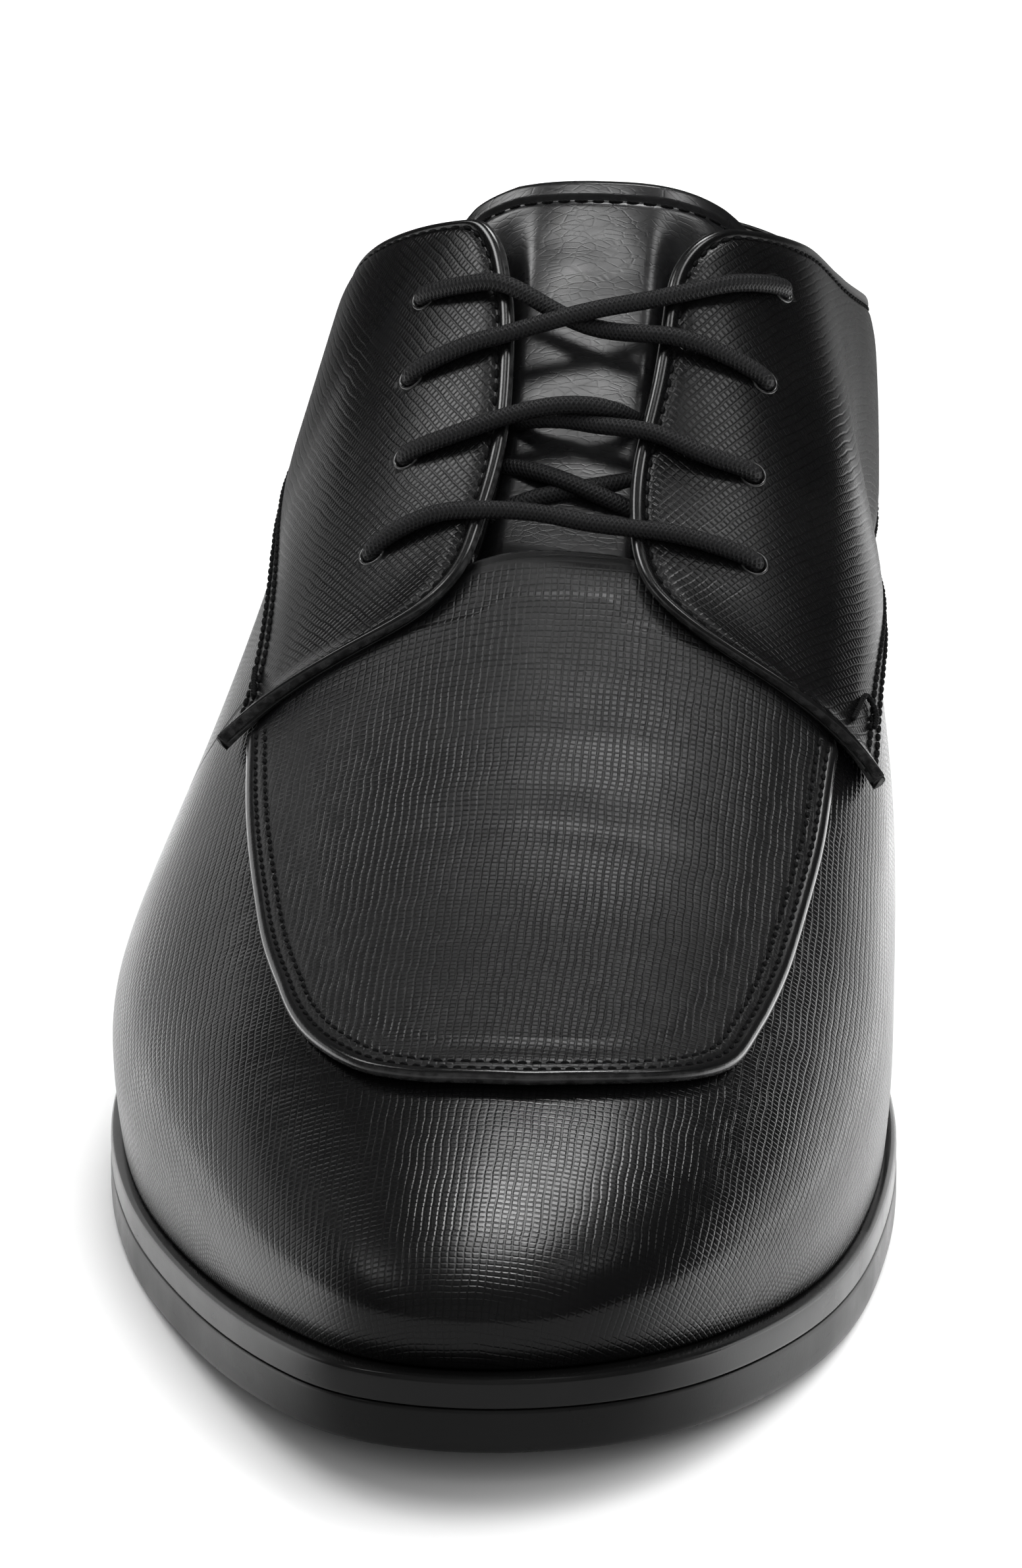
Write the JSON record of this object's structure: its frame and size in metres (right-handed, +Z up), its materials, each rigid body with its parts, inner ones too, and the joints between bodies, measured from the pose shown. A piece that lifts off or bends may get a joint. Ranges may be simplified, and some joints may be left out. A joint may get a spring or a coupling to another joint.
{
  "type": "apron toe derby shoe",
  "caption": "Black leather derby for the right foot with a raised apron on a rounded toe, open quarters, round laces and a low heel.",
  "frame": {"origin": "middle of the bounding box on the floor that the heel and the forefoot stand on", "axes": "+X to the wearer's left, the inner side of this right shoe; +Y from toe to heel, the long way; +Z up"},
  "size_m": [0.1062, 0.3031, 0.1166],
  "materials": {
    "upper_leather": "satin",
    "apron_leather": "satin",
    "quarter_leather": "satin",
    "tongue_leather": "gloss",
    "lace_cord": "matte",
    "midsole_rubber": "satin",
    "outsole_rubber": "satin",
    "heel_rubber": "satin",
    "insole_leather": "matte"
  },
  "bodies": {
    "root": {"apron": "apron_leather", "heel": "heel_rubber", "insole": "insole_leather", "lace_bar": "lace_cord", "lace_cross_lower": "lace_cord", "lace_cross_upper": "lace_cord", "midsole": "midsole_rubber", "outsole": "outsole_rubber", "quarter_inner": "quarter_leather", "quarter_outer": "quarter_leather", "tongue": "tongue_leather", "upper": "upper_leather"}
  },
  "joints": []
}
